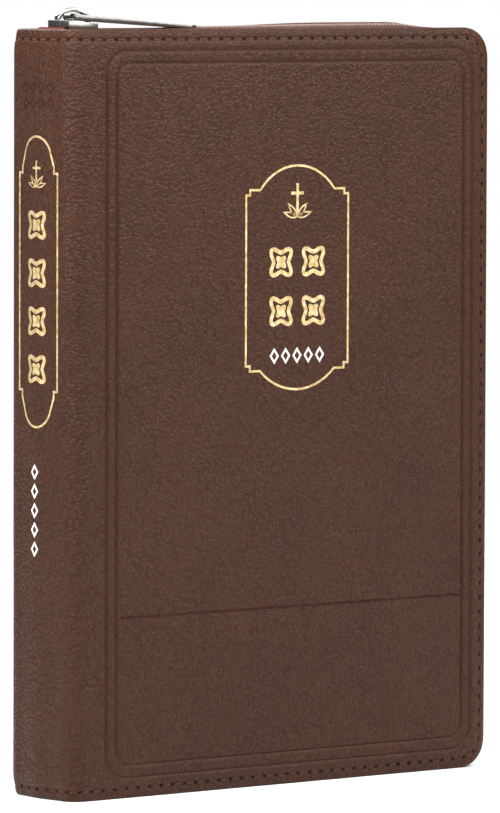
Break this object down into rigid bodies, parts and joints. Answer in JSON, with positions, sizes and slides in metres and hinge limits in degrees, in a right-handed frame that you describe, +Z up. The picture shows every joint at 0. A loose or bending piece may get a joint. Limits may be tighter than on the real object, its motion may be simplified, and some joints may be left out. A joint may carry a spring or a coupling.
{
  "type": "zip-around bible",
  "caption": "Upright padded leather Bible whose covers hinge on a soft spine and close round the thin-paper text block with a coil zip, slider and pull.",
  "frame": {"origin": "centre of the standing book's footprint, on the surface it stands on", "axes": "+X from the spine to the fore edge, +Y from the front cover to the back cover, +Z up towards the head"},
  "size_m": [0.147, 0.031, 0.2127],
  "materials": {
    "leather": "satin",
    "padding_foam": "matte",
    "cover_board": "matte",
    "lining": "matte",
    "endpaper": "matte",
    "bible_paper": "matte",
    "spine_liner": "matte",
    "mull": "matte",
    "headband": "satin",
    "ribbon": "satin",
    "zip_tape": "matte",
    "zip_coil": "satin",
    "thread": "satin",
    "slider_metal": "polished"
  },
  "bodies": {
    "root": {"spine_leather": "leather", "spine_stiffener": "cover_board", "spine_lining": "lining", "spine_paper_liner": "spine_liner", "spine_mull": "mull", "spine_head_thread": "thread", "spine_foot_thread": "thread", "text_section_01": "bible_paper", "text_section_02": "bible_paper", "text_section_03": "bible_paper", "text_section_04": "bible_paper", "text_section_05": "bible_paper", "text_section_06": "bible_paper", "text_section_07": "bible_paper", "text_section_08": "bible_paper", "text_section_09": "bible_paper", "text_section_10": "bible_paper", "text_section_11": "bible_paper", "text_section_12": "bible_paper", "first_leaves_fold": "bible_paper", "front_flyleaf_fold": "endpaper", "back_flyleaf_fold": "endpaper", "ribbon_marker_1": "ribbon", "ribbon_marker_2": "ribbon", "headband": "headband", "tailband": "headband", "zip_head_end": "zip_tape", "zip_foot_end": "zip_tape"},
    "front_cover": {"front_leather": "leather", "front_foam": "padding_foam", "front_board": "cover_board", "front_lining": "lining", "front_pastedown": "endpaper", "front_thread": "thread", "front_zip_tape": "zip_tape", "front_zip_coil": "zip_coil"},
    "back_cover": {"back_leather": "leather", "back_foam": "padding_foam", "back_board": "cover_board", "back_lining": "lining", "back_pastedown": "endpaper", "back_thread": "thread", "back_zip_tape": "zip_tape", "back_zip_coil": "zip_coil"},
    "front_flyleaf": {"front_flyleaf": "endpaper"},
    "first_leaves": {"first_leaves": "bible_paper"},
    "back_flyleaf": {"back_flyleaf": "endpaper"},
    "slider": {"slider_body": "slider_metal", "slider_bail": "slider_metal"},
    "pull_tab": {"pull_tab": "slider_metal"}
  },
  "joints": [
    {"name": "front_cover_hinge", "type": "hinge", "parent": "root", "child": "front_cover", "pos_m": [-0.0675, -0.0155, 0.1035], "axis": [0, 0, -1], "range_deg": [0, 170]},
    {"name": "back_cover_hinge", "type": "hinge", "parent": "root", "child": "back_cover", "pos_m": [-0.0675, 0.0155, 0.1035], "axis": [0, 0, 1], "range_deg": [0, 170]},
    {"name": "front_flyleaf_turn", "type": "hinge", "parent": "root", "child": "front_flyleaf", "pos_m": [-0.0645, -0.0112, 0.1035], "axis": [0, 0, -1], "range_deg": [0, 106]},
    {"name": "first_leaves_turn", "type": "hinge", "parent": "root", "child": "first_leaves", "pos_m": [-0.0639, -0.0106, 0.1035], "axis": [0, 0, -1], "range_deg": [0, 77]},
    {"name": "back_flyleaf_turn", "type": "hinge", "parent": "root", "child": "back_flyleaf", "pos_m": [-0.0645, 0.0112, 0.1035], "axis": [0, 0, 1], "range_deg": [0, 106]},
    {"name": "zip_slide", "type": "slide", "parent": "back_cover", "child": "slider", "axis": [1, 0, 0], "range_m": [0, 0.09], "deforming": ["front_zip_coil", "back_zip_coil"]},
    {"name": "pull_tab_swing", "type": "hinge", "parent": "slider", "child": "pull_tab", "pos_m": [-0.0625, 0, 0.2102], "axis": [0, -1, 0], "range_deg": [0, 160]}
  ],
  "couplings": [
    {"joint": "front_flyleaf_turn", "follows": "front_cover_hinge", "ratio": 0.62},
    {"joint": "first_leaves_turn", "follows": "front_cover_hinge", "ratio": 0.45},
    {"joint": "back_flyleaf_turn", "follows": "back_cover_hinge", "ratio": 0.62}
  ]
}
